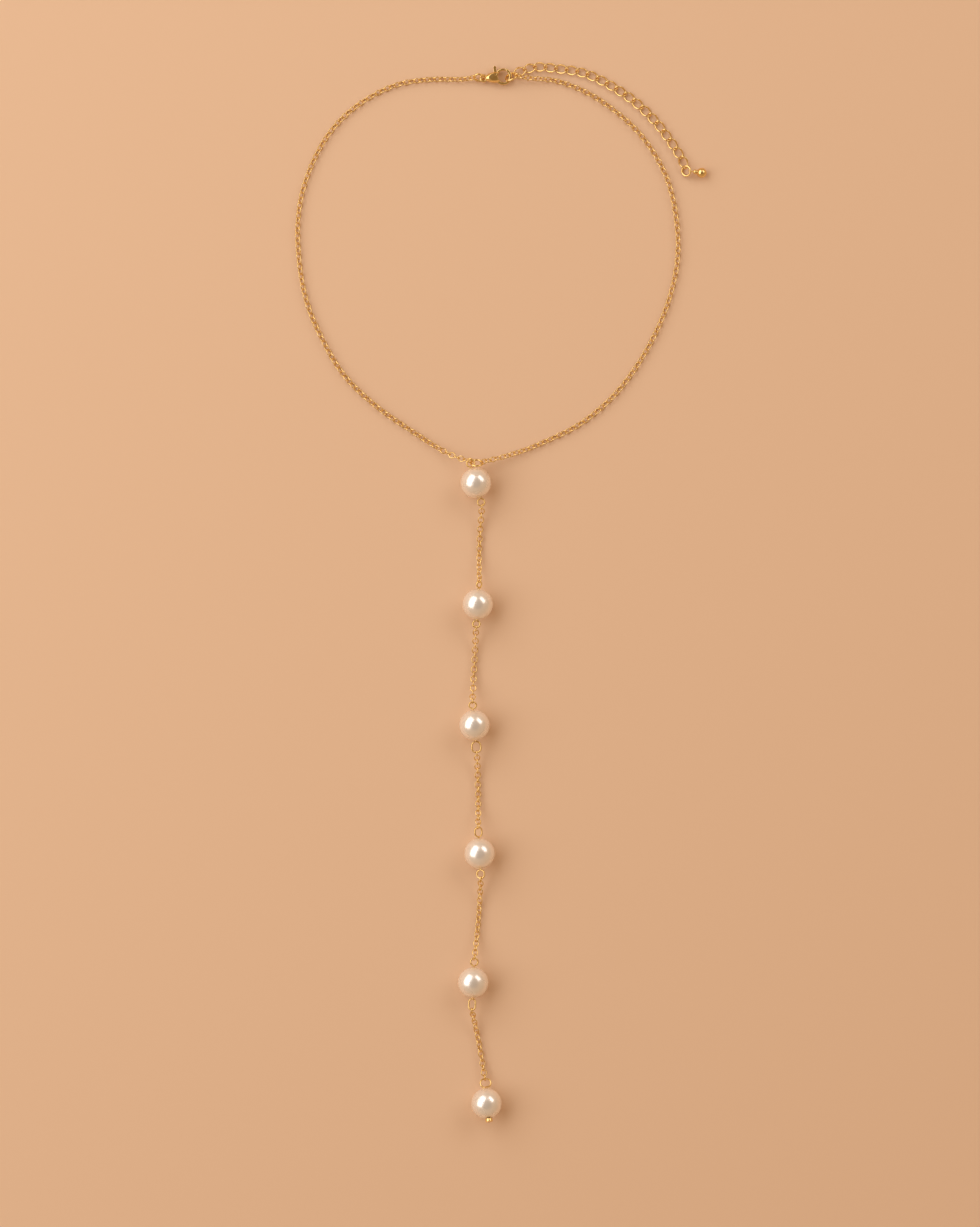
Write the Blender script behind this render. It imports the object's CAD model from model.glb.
import math
import random
import bmesh
import bpy
from mathutils import Matrix, Vector


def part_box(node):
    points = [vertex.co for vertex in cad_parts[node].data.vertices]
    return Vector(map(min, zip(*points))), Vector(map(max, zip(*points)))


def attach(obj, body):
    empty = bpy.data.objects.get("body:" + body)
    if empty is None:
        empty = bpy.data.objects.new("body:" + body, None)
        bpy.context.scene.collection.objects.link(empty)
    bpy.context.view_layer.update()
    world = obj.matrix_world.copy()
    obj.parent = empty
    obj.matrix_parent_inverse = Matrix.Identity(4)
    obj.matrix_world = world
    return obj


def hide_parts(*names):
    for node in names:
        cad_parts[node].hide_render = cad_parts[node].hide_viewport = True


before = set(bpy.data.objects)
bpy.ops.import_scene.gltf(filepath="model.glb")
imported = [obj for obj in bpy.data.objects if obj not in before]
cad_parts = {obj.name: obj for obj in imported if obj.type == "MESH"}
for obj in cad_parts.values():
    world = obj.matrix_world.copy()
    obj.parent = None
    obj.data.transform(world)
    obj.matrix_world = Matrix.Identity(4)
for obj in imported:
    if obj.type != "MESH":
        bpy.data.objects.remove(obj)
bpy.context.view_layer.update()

# The view. The necklace lies flat and is seen from straight above through a long lens, so that
# three pixels of the picture are one millimetre on the surface.
MM = 0.001
PIXEL = MM / 3
PICTURE_HEIGHT = 1227 * PIXEL
PICTURE_MIDDLE = Vector((2 * PIXEL, -342.5 * PIXEL, 0))
VIEW_HEIGHT = 1.2
SENSOR = 36
camera_data = bpy.data.cameras.new("view")
camera_data.sensor_fit = "VERTICAL"
camera_data.sensor_height = SENSOR
camera_data.lens = SENSOR * VIEW_HEIGHT / PICTURE_HEIGHT
camera = bpy.data.objects.new("view", camera_data)
camera.location = PICTURE_MIDDLE + Vector((0, 0, VIEW_HEIGHT))
bpy.context.scene.collection.objects.link(camera)
bpy.context.scene.camera = camera
bpy.context.scene.view_settings.view_transform = "Standard"

# The surface and the light. A plain pale warm sheet between two soft windows of light, in a
# warm room whose ceiling is darker than its walls.
SHEET_SIZE = 8
# heights at which the room's walls end and its ceiling begins, from 0 level to 1 straight up
WALLS_END = 0.7
CEILING_BEGINS = 0.86

bpy.ops.object.select_all(action="DESELECT")
bpy.ops.mesh.primitive_plane_add(size=SHEET_SIZE)
surface = bpy.context.object
surface.name = "surface"
sheet = bpy.data.materials.new("pale_sheet")
sheet.use_nodes = True
sheet_shader = sheet.node_tree.nodes["Principled BSDF"]
sheet_shader.inputs["Base Color"].default_value = (0.83, 0.585, 0.40, 1)
sheet_shader.inputs["Roughness"].default_value = 0.85
sheet_shader.inputs["Specular IOR Level"].default_value = 0.2
surface.data.materials.append(sheet)

room = bpy.data.worlds.new("room")
room.use_nodes = True
room_tree = room.node_tree
way = room_tree.nodes.new("ShaderNodeTexCoord")
height = room_tree.nodes.new("ShaderNodeSeparateXYZ")
ceiling = room_tree.nodes.new("ShaderNodeValToRGB")
ceiling.color_ramp.elements[0].position = WALLS_END
ceiling.color_ramp.elements[0].color = (0.54, 0.35, 0.20, 1)
ceiling.color_ramp.elements[1].position = CEILING_BEGINS
ceiling.color_ramp.elements[1].color = (0.27, 0.175, 0.10, 1)
room_tree.links.new(way.outputs["Generated"], height.inputs["Vector"])
room_tree.links.new(height.outputs["Z"], ceiling.inputs["Fac"])
room_tree.links.new(ceiling.outputs["Color"], room_tree.nodes["Background"].inputs["Color"])
bpy.context.scene.world = room


def soft_light(name, place, width, depth, power):
    """A soft window of light, turned towards the middle of the picture."""
    lamp = bpy.data.lights.new(name, "AREA")
    lamp.shape = "RECTANGLE"
    lamp.size = width
    lamp.size_y = depth
    lamp.energy = power
    holder = bpy.data.objects.new(name, lamp)
    holder.location = place
    aim = PICTURE_MIDDLE - Vector(place)
    holder.rotation_euler = aim.to_track_quat("-Z", "Y").to_euler()
    bpy.context.scene.collection.objects.link(holder)


soft_light("window_left", place=(-0.9, 0.28, 0.9), width=2.2, depth=1.15, power=14)
soft_light("window_right", place=(0.95, 0.75, 1.0), width=1.2, depth=0.65, power=4.5)

# The pearls. Six glass beads of 10 mm, each drilled through and dipped in coats of pearl
# essence: cream white and very glossy, and warmer at the edge.
PEARL_RADIUS = 5.1 * MM
BORE_RADIUS = 0.5 * MM
# faces whose middles lie nearer the axis than this many bore radii make way for the bore, whose
# edge is sunk to this share of the height round it
BORE_RIM = 1.7
RIM_DEPTH = 0.975
BEAD_SEGMENTS = 64
BEAD_RINGS = 48
RIPPLE_DEPTH = 0.02 * MM
# edges sharper than this stay crisp
BORE_EDGE = math.radians(50)
# middle of each pearl, swing of its pin from -Y towards +X, and rise of the pin's lower end
PEARLS = [
    (-4, -70.8, 15, -3), (-3.4, -111.1, -4, 2), (-4.5, -151.2, 5, -2),
    (-2.8, -193.8, 3, 0), (-4.9, -236.6, -3, 2), (-0.5, -276.8, 9, 20),
]


def uneven_coat():
    """Soft clouds of a second tint and of dullness, and faint ripples, as a dipped coat has."""
    group = bpy.data.node_groups.new("uneven_coat", "ShaderNodeTree")
    for name, kind in (
            ("Vector", "Vector"), ("Colour", "Color"), ("Tint", "Color"), ("Cloud Scale", "Float"),
            ("Ripple Scale", "Float"), ("Ripple", "Float"), ("Glossiest", "Float"),
            ("Dullest", "Float")):
        group.interface.new_socket(name, in_out="INPUT", socket_type="NodeSocket" + kind)
    for name, kind in (("Colour", "Color"), ("Roughness", "Float"), ("Normal", "Vector")):
        group.interface.new_socket(name, in_out="OUTPUT", socket_type="NodeSocket" + kind)
    nodes = group.nodes
    join = group.links.new
    given = nodes.new("NodeGroupInput").outputs
    result = nodes.new("NodeGroupOutput").inputs
    clouds = nodes.new("ShaderNodeTexNoise")
    clouds.inputs["Detail"].default_value = 3
    join(given["Vector"], clouds.inputs["Vector"])
    join(given["Cloud Scale"], clouds.inputs["Scale"])
    spread = nodes.new("ShaderNodeMapRange")
    spread.inputs["From Min"].default_value = 0.35
    spread.inputs["From Max"].default_value = 0.65
    join(clouds.outputs["Fac"], spread.inputs["Value"])
    tinted = nodes.new("ShaderNodeMix")
    tinted.data_type = "RGBA"
    join(spread.outputs["Result"], tinted.inputs["Factor"])
    join(given["Colour"], tinted.inputs["A"])
    join(given["Tint"], tinted.inputs["B"])
    join(tinted.outputs["Result"], result["Colour"])
    ripples = nodes.new("ShaderNodeTexNoise")
    ripples.inputs["Detail"].default_value = 2
    join(given["Vector"], ripples.inputs["Vector"])
    join(given["Ripple Scale"], ripples.inputs["Scale"])
    gloss = nodes.new("ShaderNodeMapRange")
    join(ripples.outputs["Fac"], gloss.inputs["Value"])
    join(given["Glossiest"], gloss.inputs["To Min"])
    join(given["Dullest"], gloss.inputs["To Max"])
    join(gloss.outputs["Result"], result["Roughness"])
    dent = nodes.new("ShaderNodeBump")
    dent.inputs["Distance"].default_value = RIPPLE_DEPTH
    join(given["Ripple"], dent.inputs["Strength"])
    join(ripples.outputs["Fac"], dent.inputs["Height"])
    join(dent.outputs["Normal"], result["Normal"])
    return group


COAT = uneven_coat()


def coated(name, **values):
    """A material whose colour, gloss and relief come from the shared coat, with these values."""
    finish = bpy.data.materials.new(name)
    finish.use_nodes = True
    tree = finish.node_tree
    shader = tree.nodes["Principled BSDF"]
    where = tree.nodes.new("ShaderNodeTexCoord")
    coat = tree.nodes.new("ShaderNodeGroup")
    coat.name = "coat"
    coat.node_tree = COAT
    for key, value in values.items():
        coat.inputs[key.replace("_", " ")].default_value = value
    tree.links.new(where.outputs["Object"], coat.inputs["Vector"])
    tree.links.new(coat.outputs["Colour"], shader.inputs["Base Color"])
    tree.links.new(coat.outputs["Roughness"], shader.inputs["Roughness"])
    tree.links.new(coat.outputs["Normal"], shader.inputs["Normal"])
    return finish


nacre = coated(
    "nacre", Colour=(0.96, 0.92, 0.87, 1), Tint=(0.98, 0.95, 0.92, 1), Cloud_Scale=260,
    Ripple_Scale=160, Ripple=0, Glossiest=0.24, Dullest=0.30)
nacre_tree = nacre.node_tree
nacre_shader = nacre_tree.nodes["Principled BSDF"]
nacre_shader.inputs["Metallic"].default_value = 0.55
nacre_shader.inputs["Coat Weight"].default_value = 0.6
nacre_shader.inputs["Coat Roughness"].default_value = 0.14
nacre_shader.inputs["Coat IOR"].default_value = 1.5
nacre_shader.inputs["Specular IOR Level"].default_value = 0.8
# Seen at a slant the coat turns from white to a warm cream.
slant = nacre_tree.nodes.new("ShaderNodeLayerWeight")
slant.inputs["Blend"].default_value = 0.35
lustre = nacre_tree.nodes.new("ShaderNodeValToRGB")
lustre.color_ramp.elements[0].color = (1, 1, 1, 1)
lustre.color_ramp.elements[1].position = 0.9
lustre.color_ramp.elements[1].color = (1, 0.90, 0.80, 1)
lustre.color_ramp.elements.new(position=0.45).color = (1, 0.98, 0.94, 1)
lustre_over = nacre_tree.nodes.new("ShaderNodeMix")
lustre_over.data_type = "RGBA"
lustre_over.blend_type = "MULTIPLY"
lustre_over.inputs["Factor"].default_value = 1
nacre_tree.links.new(slant.outputs["Facing"], lustre.inputs["Fac"])
nacre_tree.links.new(nacre_tree.nodes["coat"].outputs["Colour"], lustre_over.inputs["A"])
nacre_tree.links.new(lustre.outputs["Color"], lustre_over.inputs["B"])
nacre_tree.links.new(lustre_over.outputs["Result"], nacre_shader.inputs["Base Color"])


def pick_faces(piece, test):
    """Selects the faces whose middles pass a test, in edit mode."""
    bpy.ops.mesh.select_mode(type="FACE")
    bpy.ops.mesh.select_all(action="DESELECT")
    shape = bmesh.from_edit_mesh(piece.data)
    for face in shape.faces:
        face.select = test(face.calc_center_median())
    bmesh.update_edit_mesh(piece.data)


def copy_of(piece, place):
    """A copy with a mesh of its own, moved by moving its mesh."""
    copy = piece.copy()
    copy.data = piece.data.copy()
    copy.data.transform(place)
    bpy.context.scene.collection.objects.link(copy)
    return copy


def pin_down(number):
    """Direction of a pearl's pin, from its upper eye to its lower end."""
    swing, rise = (math.radians(a) for a in PEARLS[number][2:])
    level = math.cos(rise)
    return Vector((math.sin(swing) * level, -math.cos(swing) * level, math.sin(rise)))


def pearl_middle(number):
    """Middle of a pearl, which rests on the surface."""
    x, y = PEARLS[number][:2]
    return Vector((x * MM, y * MM, PEARL_RADIUS))


def standing(place, direction):
    """Place of a piece that was made along Z and stands along a direction."""
    return Matrix.Translation(place) @ direction.to_track_quat("Z", "Y").to_matrix().to_4x4()


bpy.ops.object.select_all(action="DESELECT")
bpy.ops.mesh.primitive_uv_sphere_add(
    segments=BEAD_SEGMENTS, ring_count=BEAD_RINGS, radius=PEARL_RADIUS)
bead = bpy.context.object
bpy.ops.object.mode_set(mode="EDIT")
pick_faces(bead, lambda middle: math.hypot(middle.x, middle.y) < BORE_RADIUS * BORE_RIM)
bpy.ops.mesh.delete(type="FACE")
bpy.ops.mesh.select_mode(type="EDGE")
bpy.ops.mesh.select_all(action="DESELECT")
bpy.ops.mesh.select_non_manifold()
bpy.ops.mesh.extrude_edges_move()
shape = bmesh.from_edit_mesh(bead.data)
for vertex in shape.verts:
    if vertex.select:
        reach = math.hypot(vertex.co.x, vertex.co.y)
        vertex.co.x *= BORE_RADIUS / reach
        vertex.co.y *= BORE_RADIUS / reach
        vertex.co.z *= RIM_DEPTH
bmesh.update_edit_mesh(bead.data)
bpy.ops.mesh.bridge_edge_loops()
bpy.ops.mesh.select_all(action="SELECT")
bpy.ops.mesh.normals_make_consistent(inside=False)
bpy.ops.object.mode_set(mode="OBJECT")
bpy.ops.object.shade_smooth_by_angle(angle=BORE_EDGE)

for number in range(len(PEARLS)):
    pearl = copy_of(bead, standing(pearl_middle(number), pin_down(number)))
    pearl.name = f"pearl_{number + 1}_coat"
    pearl.data.materials.append(nacre)
    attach(pearl, "necklace")
    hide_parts(f"pearl_{number + 1}")
bpy.data.objects.remove(bead)

# The pins. One gold-plated brass wire through each pearl, bent into a loop at both ends, each
# loop closed against the wire it started from. The last pin ends in an upset head below.
PIN_WIRE = 0.55 * MM
EYE_WIDTH = 2.9 * MM
EYE_PLAY = 0.12 * MM
EYE_NEAR = PEARL_RADIUS + EYE_PLAY + PIN_WIRE / 2
# how far the bend into a loop reaches, and the gap at the loop's cut end
BEND = 0.4 * MM
EYE_GAP = 0.06 * MM
HEAD_RADIUS = 1.2 * MM
HEAD_HEIGHT = 1 * MM
# the rounding asked for, which the short edges round the head hold to about 0.09 mm
HEAD_ROUNDING_LIMIT = HEAD_HEIGHT / 4
HEAD_SIDES = 40
LOOP_STEPS = 44
BEND_STEPS = 6
ROUNDING_STEPS = 4
WIRE_ROUNDNESS = 3
CUT_EDGE = math.radians(40)
TURNED_EDGE = math.radians(30)
# each eye's roll about the pin, then width, length and sideways set as shares of EYE_WIDTH
UPPER_EYES = [
    (0, 1.1, 1, 0), (45, 0.95, 0.95, 0), (5, 1, 0.95, 0),
    (30, 1.1, 1.3, 0), (15, 1.05, 1.05, 0), (10, 1.4, 1.15, -0.25),
]
LOWER_EYES = [
    (10, 1, 1, 0), (0, 1, 0.95, 0), (0, 1.2, 1.45, 0), (20, 1.1, 1.15, 0), (10, 0.95, 1.45, 0),
]

plate = coated(
    "gold_plate", Colour=(0.93, 0.70, 0.32, 1), Tint=(0.84, 0.59, 0.22, 1), Cloud_Scale=900,
    Ripple_Scale=2600, Ripple=0.25, Glossiest=0.12, Dullest=0.27)
plate.node_tree.nodes["Principled BSDF"].inputs["Metallic"].default_value = 1


def plated(piece, name, node, body="necklace"):
    """Finishes a piece in the gold plate and puts it in place of its node."""
    piece.name = name
    piece.data.materials.clear()
    piece.data.materials.append(plate)
    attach(piece, body)
    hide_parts(node)


def side_of(run):
    """Level direction square to a run."""
    return Vector((0, 0, 1)).cross(run).normalized()


def rolled(run, roll):
    """The same direction rolled about the run."""
    side = side_of(run)
    return math.cos(roll) * side + math.sin(roll) * run.normalized().cross(side)


def eye_line(number, along, eye):
    """Middle line of a pin from its pearl to the cut end of its loop."""
    roll, width, length, offset = eye
    side = rolled(along, math.radians(roll))
    width, length, offset = (share * EYE_WIDTH for share in (width, length, offset))
    bow = (min(width, length) - PIN_WIRE) / 2
    flat = max(0, width - length) / 2
    drawn = max(0, length - width) / 2
    middle = EYE_NEAR + (length - PIN_WIRE) / 2

    def loop_point(turn):
        out = bow * math.sin(turn) + math.copysign(flat, math.sin(turn)) + offset
        far = -bow * math.cos(turn) - math.copysign(drawn, math.cos(turn)) + middle
        return pearl_middle(number) + far * along + out * side

    # turns at which the loop leaves the bend and comes back to the shaft
    first = math.asin((BEND - offset - flat) / bow)
    back = PIN_WIRE / 2 + EYE_GAP + offset
    last = 2 * math.pi - math.copysign(math.asin((abs(back) - flat) / bow), back)
    loop = [loop_point(first + (last - first) * i / LOOP_STEPS) for i in range(LOOP_STEPS + 1)]
    start = pearl_middle(number) + (EYE_NEAR - BEND) * along
    corner = pearl_middle(number) + EYE_NEAR * along
    bend = []
    for i in range(BEND_STEPS):
        t = i / BEND_STEPS
        bend.append(start * (1 - t) ** 2 + corner * 2 * t * (1 - t) + loop[0] * t ** 2)
    return bend + loop


def round_wire(points, wire):
    """A round wire along points, as a mesh with flat ends."""
    line = bpy.data.curves.new("wire", "CURVE")
    line.dimensions = "3D"
    line.bevel_depth = wire / 2
    line.bevel_resolution = WIRE_ROUNDNESS
    line.use_fill_caps = True
    spline = line.splines.new("POLY")
    spline.points.add(len(points) - 1)
    for knot, point in zip(spline.points, points):
        knot.co = (*point, 1)
    piece = bpy.data.objects.new("wire", line)
    bpy.context.scene.collection.objects.link(piece)
    bpy.ops.object.select_all(action="DESELECT")
    bpy.context.view_layer.objects.active = piece
    piece.select_set(True)
    bpy.ops.object.convert(target="MESH")
    bpy.ops.object.shade_smooth_by_angle(angle=CUT_EDGE)
    return bpy.context.object


def turned_stub(radius, height, rounding_limit, sides):
    """A short round stub along Z, its edges rounded as far as the limit and their number allow."""
    bpy.ops.object.select_all(action="DESELECT")
    bpy.ops.mesh.primitive_cylinder_add(vertices=sides, radius=radius, depth=height)
    stub = bpy.context.object
    bpy.ops.object.mode_set(mode="EDIT")
    bpy.ops.mesh.select_all(action="SELECT")
    bpy.ops.mesh.bevel(
        offset=rounding_limit, segments=ROUNDING_STEPS, affect="EDGES", clamp_overlap=True)
    bpy.ops.object.mode_set(mode="OBJECT")
    bpy.ops.object.shade_smooth_by_angle(angle=TURNED_EDGE)
    return stub


for number in range(len(LOWER_EYES)):
    down = pin_down(number)
    lower_line = eye_line(number, down, LOWER_EYES[number])
    upper_line = eye_line(number, -down, UPPER_EYES[number])
    pin = round_wire(lower_line[::-1] + upper_line, PIN_WIRE)
    plated(pin, f"eye_pin_{number + 1}_wire", f"eye_pin_{number + 1}")

last_pearl = len(PEARLS) - 1
down = pin_down(last_pearl)
head_seat = PEARL_RADIUS + EYE_PLAY
tip = pearl_middle(last_pearl) + (head_seat + HEAD_HEIGHT / 2) * down
head_pin = round_wire([tip] + eye_line(last_pearl, -down, UPPER_EYES[last_pearl]), PIN_WIRE)
head = turned_stub(HEAD_RADIUS, HEAD_HEIGHT, HEAD_ROUNDING_LIMIT, HEAD_SIDES)
head.data.transform(standing(tip, down))
head_pin.select_set(True)
bpy.context.view_layer.objects.active = head_pin
bpy.ops.object.join()
plated(head_pin, "head_pin_wire", "head_pin")

# The drop's chain. Five lengths of fine cable chain, each link a closed oval of brass wire
# through the next, hung from eye to eye between the pearls.
LINK_LENGTH = 2.6 * MM
LINK_WIDTH = 2.2 * MM
LINK_WIRE = 0.38 * MM
LINK_PLAY = 0.14 * MM
LINK_UPRIGHT = LINK_WIDTH / 2
# how far the chain reaches from an eye before it lies, as a share of its span, the sideways bow
# of each length, and the number of points on its line
FALL = 0.42
DROP_BOWS = [-0.4 * MM, 0, 0.2 * MM, 0.3 * MM, 0.2 * MM]
HANG_STEPS = 24


def oval_link(length, width, wire, resolution, roundness):
    """A link of round wire along X: an oval curve with a round bevel, turned into a mesh."""
    bpy.ops.object.select_all(action="DESELECT")
    bpy.ops.curve.primitive_nurbs_circle_add(radius=1)
    link = bpy.context.object
    link.data.resolution_u = resolution
    link.data.bevel_depth = wire / 2
    link.data.bevel_resolution = roundness
    bpy.ops.object.mode_set(mode="EDIT")
    bpy.ops.transform.resize(value=((length - wire) / 2, (width - wire) / 2, 1))
    bpy.ops.object.mode_set(mode="OBJECT")
    bpy.ops.object.convert(target="MESH")
    bpy.ops.object.shade_smooth()
    return bpy.context.object


class Track:
    """A line through points, which gives the place at a distance run and goes straight on."""

    def __init__(self, points):
        self.points = points
        self.runs = [0.0]
        for a, b in zip(points, points[1:]):
            self.runs.append(self.runs[-1] + (b - a).length)
        self.length = self.runs[-1]

    def at(self, run):
        points, runs = self.points, self.runs
        if run <= 0:
            return points[0] + run * (points[1] - points[0]).normalized()
        if run >= self.length:
            return points[-1] + (run - self.length) * (points[-1] - points[-2]).normalized()
        i = next(i for i in range(1, len(runs)) if runs[i] >= run) - 1
        return points[i].lerp(points[i + 1], (run - runs[i]) / (runs[i + 1] - runs[i]))


def grip_roll(run, wire):
    """Roll that sets a link square to the wire it grips."""
    across = run.cross(wire)
    side = side_of(run)
    return math.atan2(across.dot(run.normalized().cross(side)), across.dot(side))


def links_on(track, link, length, wire, grip_wire, roll_of):
    """Copies of a link from one gripped wire to the other, pulled out evenly, as one piece."""
    room = track.length + grip_wire + 2 * LINK_PLAY + 2 * wire - length
    count = 1 + math.ceil(room / (length - 2 * wire - LINK_PLAY))
    copies = []
    for k in range(count):
        run = k * room / (count - 1) - (grip_wire + wire) / 2 - LINK_PLAY
        near, far = track.at(run), track.at(run + length - wire)
        along = (far - near).normalized()
        side = rolled(along, roll_of(k, count))
        place = Matrix((along, side, along.cross(side))).transposed().to_4x4()
        place.translation = (near + far) / 2
        copies.append(copy_of(link, place))
    bpy.ops.object.select_all(action="DESELECT")
    for copy in copies:
        copy.select_set(True)
    bpy.context.view_layer.objects.active = copies[0]
    bpy.ops.object.join()
    return copies[0]


def turning_rolls(first, last):
    """Each link a quarter turn from the one before, eased evenly from one grip to the other."""
    def roll_of(k, count):
        spare = last - first - math.pi / 2 * (count - 1)
        twist = spare - math.pi * round(spare / math.pi)
        return first + math.pi / 2 * k + twist * k / (count - 1)

    return roll_of


def eye_far(number, along, eye):
    """Middle of the wire at the far end of an eye."""
    roll, length, offset = eye[0], eye[2], eye[3]
    reach = EYE_NEAR + length * EYE_WIDTH - PIN_WIRE
    side = rolled(along, math.radians(roll))
    return pearl_middle(number) + reach * along + offset * EYE_WIDTH * side


def hang(t):
    """How high the chain still is at a share of its span, from 1 at an eye to 0 where it lies."""
    return max(0, 1 - t / FALL) ** 2 + max(0, 1 - (1 - t) / FALL) ** 2


fine_link = oval_link(LINK_LENGTH, LINK_WIDTH, LINK_WIRE, resolution=2, roundness=1)
for number in range(len(LOWER_EYES)):
    down, up = pin_down(number), -pin_down(number + 1)
    a = eye_far(number, down, LOWER_EYES[number])
    b = eye_far(number + 1, up, UPPER_EYES[number + 1])
    points = []
    for i in range(HANG_STEPS + 1):
        t = i / HANG_STEPS
        point = a.lerp(b, t)
        point.x += DROP_BOWS[number] * math.sin(math.pi * t)
        point.z = LINK_UPRIGHT + ((a if t < 0.5 else b).z - LINK_UPRIGHT) * hang(t)
        points.append(point)
    first = grip_roll(points[1] - points[0], rolled(down, math.radians(LOWER_EYES[number][0])))
    last = grip_roll(points[-1] - points[-2], rolled(up, math.radians(UPPER_EYES[number + 1][0])))
    drop = links_on(
        Track(points), fine_link, LINK_LENGTH, LINK_WIRE, PIN_WIRE, turning_rolls(first, last))
    plated(drop, f"drop_chain_{number + 1}_links", f"drop_chain_{number + 1}")

# The jump rings. Four rings of round brass wire, sprung open to take what they join and closed
# again. The joint between the cut ends isn't shown, so each is modelled as a whole ring.
RING_WIRE = 0.65 * MM
RING_STEPS = 56
RING_SIDES = 16
# each ring's outside diameter, heading of its level diameter, lean about that diameter, and how
# far its mesh is turned round its own middle
RINGS = {
    "centre_ring": (4.6 * MM, 0, -57, 75),
    "clasp_ring": (3.9 * MM, 0, 58, 90),
    "catch_ring": (4.6 * MM, 27, -53, 75),
    "extender_end_ring": (3.9 * MM, -75, 35, -60),
}


def ring_turned(ring, turn):
    """A ring's place, turned so that X points from its middle at a turn round it."""
    heading, lean = RINGS[ring][1:3]
    low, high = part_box(ring)
    place = Matrix.Translation((Vector(low) + Vector(high)) / 2)
    for angle, axis in ((heading, "Z"), (lean, "X"), (turn, "Z")):
        place = place @ Matrix.Rotation(math.radians(angle), 4, axis)
    return place


for ring, values in RINGS.items():
    diameter, turn = values[0], values[3]
    bpy.ops.object.select_all(action="DESELECT")
    bpy.ops.mesh.primitive_torus_add(
        major_segments=RING_STEPS, minor_segments=RING_SIDES,
        major_radius=(diameter - RING_WIRE) / 2, minor_radius=RING_WIRE / 2)
    piece = bpy.context.object
    bpy.ops.object.shade_smooth_by_angle(angle=CUT_EDGE)
    piece.data.transform(ring_turned(ring, turn))
    plated(piece, ring + "_wire", ring)

# The neck strands. About two hundred and thirty of the same fine links, laid in the loop that
# goes round the neck: from the clasp's ring and from the catch ring down to the centre ring.
CURVE_STEPS = 8
# links over which a strand turns from a grip to the way it lies
EASE = 8
# lean of the links to either side, and how far each may stray from it
SLANT = math.radians(45)
SWAY = math.radians(6)
SWAY_SEED = 7
# lying at a slant, a link's middle is this high
LINK_REST = (LINK_WIDTH - LINK_WIRE) / 2 * math.sin(SLANT + SWAY) + LINK_WIRE / 2
# points of each route in millimetres: x, y and the lift above where the chain lies
LEFT_ROUTE = [
    (-9, 63.7, 0.3), (-19.3, 63.7, 0), (-29.8, 62.1, 0), (-39.5, 57.7, 0), (-48, 51.3, 0),
    (-54.8, 42.9, 0), (-60.5, 30.7, 0), (-63.2, 18, 0), (-63, 4.5, 0), (-60.8, -8.9, 0),
    (-56, -21.2, 0), (-48.2, -34.5, 0), (-37, -45.3, 0), (-24, -54.3, 0), (-15.5, -59.7, 0.8),
    (-9.8, -62.5, 2.3),
]
RIGHT_ROUTE = [
    (14, 63.9, 1.4), (22.5, 63.3, 0), (32.3, 59.7, 0), (41.3, 54, 0), (49.3, 47, 0),
    (55.7, 38.5, 0), (60.3, 28.8, 0), (62.9, 16, 0), (63, 2.5, 0), (59.5, -12, 0),
    (52.8, -26.5, 0), (43.2, -40.2, 0), (31.2, -50.7, 0), (17, -57.8, 0.2), (7, -61.5, 1.4),
]
# each strand's route, and the ring and the turn round that ring where it begins and ends
STRANDS = {
    "left": (LEFT_ROUTE, ("clasp_ring", 180), ("centre_ring", 140)),
    "right": (RIGHT_ROUTE, ("catch_ring", -30), ("centre_ring", 20)),
}


def ring_point(ring, turn):
    """Middle of a ring's wire at a turn round it."""
    return ring_turned(ring, turn) @ Vector(((RINGS[ring][0] - RING_WIRE) / 2, 0, 0))


def ring_run(ring, turn):
    """Direction of a ring's wire there."""
    return ring_turned(ring, turn).to_3x3() @ Vector((0, 1, 0))


def lying(start, route, end, rest):
    """A smooth line over the surface from one gripped wire to the other."""
    knots = [start] + [Vector((x * MM, y * MM, z * MM + rest)) for x, y, z in route] + [end]
    last = len(knots) - 1
    points = []
    for i in range(last):
        a, b = knots[max(i - 1, 0)], knots[i]
        c, d = knots[i + 1], knots[min(i + 2, last)]
        for k in range(CURVE_STEPS):
            t = k / CURVE_STEPS
            points.append(0.5 * (
                2 * b + (c - a) * t + (2 * a - 5 * b + 4 * c - d) * t ** 2
                + (3 * b - a - 3 * c + d) * t ** 3))
    points.append(end.copy())
    for point in points:
        point.z = max(point.z, rest)
    return Track(points)


def lying_rolls(first, last):
    """Links slanted one way and the other by turns, except where they come up to the grips."""
    chance = random.Random(SWAY_SEED)

    def roll_of(k, count):
        roll = SLANT + math.pi / 2 * k
        for grip, resting, away in (
                (first, SLANT, k), (last, SLANT + math.pi / 2 * (count - 1), count - 1 - k)):
            turn = grip - resting
            turn -= math.pi * round(turn / math.pi)
            roll += turn * max(0, 1 - away / EASE)
        return roll + chance.uniform(-SWAY, SWAY)

    return roll_of


for name, (route, start, end) in STRANDS.items():
    track = lying(ring_point(*start), route, ring_point(*end), LINK_REST)
    rolls = lying_rolls(
        grip_roll(track.at(MM) - track.at(0), ring_run(*start)),
        grip_roll(track.at(track.length) - track.at(track.length - MM), ring_run(*end)))
    strand = links_on(track, fine_link, LINK_LENGTH, LINK_WIRE, RING_WIRE, rolls)
    plated(strand, f"neck_links_{name}", f"neck_chain_{name}")
bpy.data.objects.remove(fine_link)

# The clasp. A lobster claw and its sprung lever, both cast in brass, tumbled until every edge is
# round and plated, and a rivet with slightly rounded ends through the claw's cheeks and the lever.
BODY_GRAIN = 0.05 * MM
LEVER_GRAIN = 0.04 * MM
# rounds of wear in the tumbler
BODY_WEAR = 18
LEVER_WEAR = 14
MERGE_WITHIN = MM / 2000
# the rounding asked for, which the short edges round the rivet hold to about 0.03 mm
RIVET_ROUNDING_LIMIT = 0.12 * MM
RIVET_SIDES = 32


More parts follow.
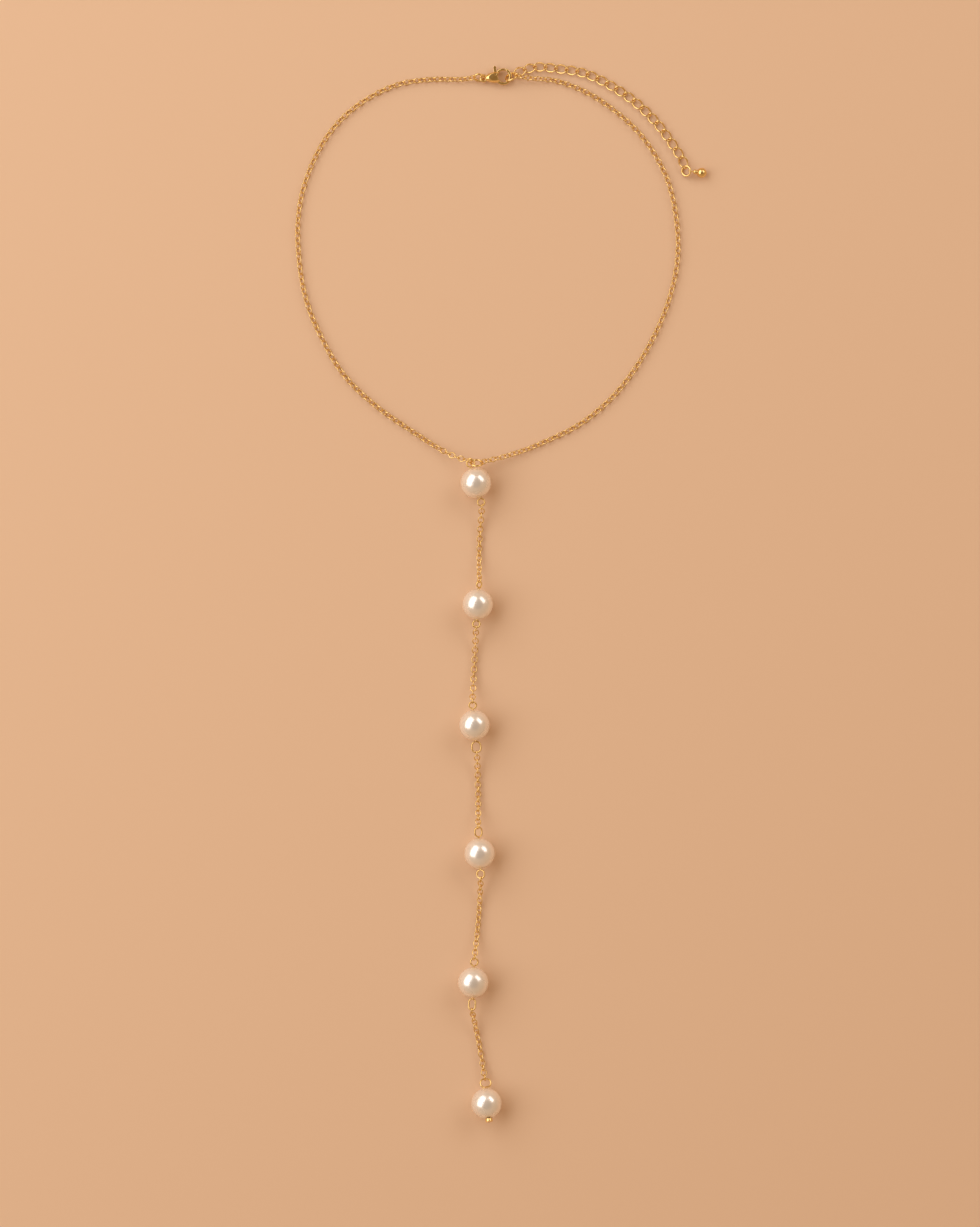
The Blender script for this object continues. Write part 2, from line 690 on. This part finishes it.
def tumbled(node, grain, rounds):
    """A casting with the node's shape and every edge worn round, as tumbling leaves it."""
    bpy.ops.object.select_all(action="DESELECT")
    casting = bpy.data.objects.new(node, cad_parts[node].data.copy())
    bpy.context.scene.collection.objects.link(casting)
    bpy.context.view_layer.objects.active = casting
    casting.select_set(True)
    bpy.ops.object.mode_set(mode="EDIT")
    bpy.ops.mesh.select_all(action="SELECT")
    bpy.ops.mesh.remove_doubles(threshold=MERGE_WITHIN)
    bpy.ops.mesh.normals_make_consistent(inside=False)
    bpy.ops.object.mode_set(mode="OBJECT")
    skin = casting.modifiers.new("skin", "REMESH")
    skin.mode = "VOXEL"
    skin.voxel_size = grain
    bpy.ops.object.modifier_apply(modifier="skin")
    worn = casting.modifiers.new("worn", "SMOOTH")
    worn.factor = 0.5
    worn.iterations = rounds
    bpy.ops.object.modifier_apply(modifier="worn")
    bpy.ops.object.shade_smooth()
    return casting


plated(tumbled("clasp_body", BODY_GRAIN, BODY_WEAR), "clasp_casting", "clasp_body")
plated(tumbled("clasp_lever", LEVER_GRAIN, LEVER_WEAR), "clasp_gate", "clasp_lever", "clasp_lever")

low, high = (Vector(corner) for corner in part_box("clasp_pin"))
rivet = turned_stub((high.x - low.x) / 2, high.z - low.z, RIVET_ROUNDING_LIMIT, RIVET_SIDES)
rivet.data.transform(Matrix.Translation((low + high) / 2))
plated(rivet, "clasp_rivet", "clasp_pin")

# The extender. Curb links of round brass wire, twisted so that they lie flat side by side, from
# the catch ring to the small ring that holds the ball.
CURB_LENGTH = 4.9 * MM
CURB_WIDTH = 3.3 * MM
CURB_WIRE = 0.55 * MM
CURB_TWIST = math.radians(-90)
EXTENDER_ROUTE = [
    (15.5, 68, 0), (23, 67.3, 0), (31, 66.2, 0), (38, 63.3, 0), (46.3, 58.3, 0),
    (53, 52.7, 0), (58.2, 46.8, 0), (62.2, 41, 0), (64.4, 37.8, 0),
]
curb_link = oval_link(CURB_LENGTH, CURB_WIDTH, CURB_WIRE, resolution=4, roundness=2)
twist = curb_link.modifiers.new("twist", "SIMPLE_DEFORM")
twist.deform_method = "TWIST"
twist.deform_axis = "X"
# the twist is counted between the middles of the wire at the link's two ends
twist.angle = CURB_TWIST * CURB_LENGTH / (CURB_LENGTH - CURB_WIRE)
bpy.ops.object.modifier_apply(modifier="twist")
curb_rest = max(vertex.co.z for vertex in curb_link.data.vertices)
extender_track = lying(
    ring_point("catch_ring", 15), EXTENDER_ROUTE, ring_point("extender_end_ring", 180), curb_rest)
extender = links_on(
    extender_track, curb_link, CURB_LENGTH, CURB_WIRE, RING_WIRE, lambda k, count: 0)
plated(extender, "extender_links", "extender_chain")
bpy.data.objects.remove(curb_link)

# The ball at the extender's end. A small brass ball, a bead and a wire loop, soldered together in
# a row and plated over, which leaves the joints round.
BALL_GRAIN = 0.07 * MM
BALL_WEAR = 4

plated(tumbled("extender_ball", BALL_GRAIN, BALL_WEAR), "extender_ball_soldered", "extender_ball")
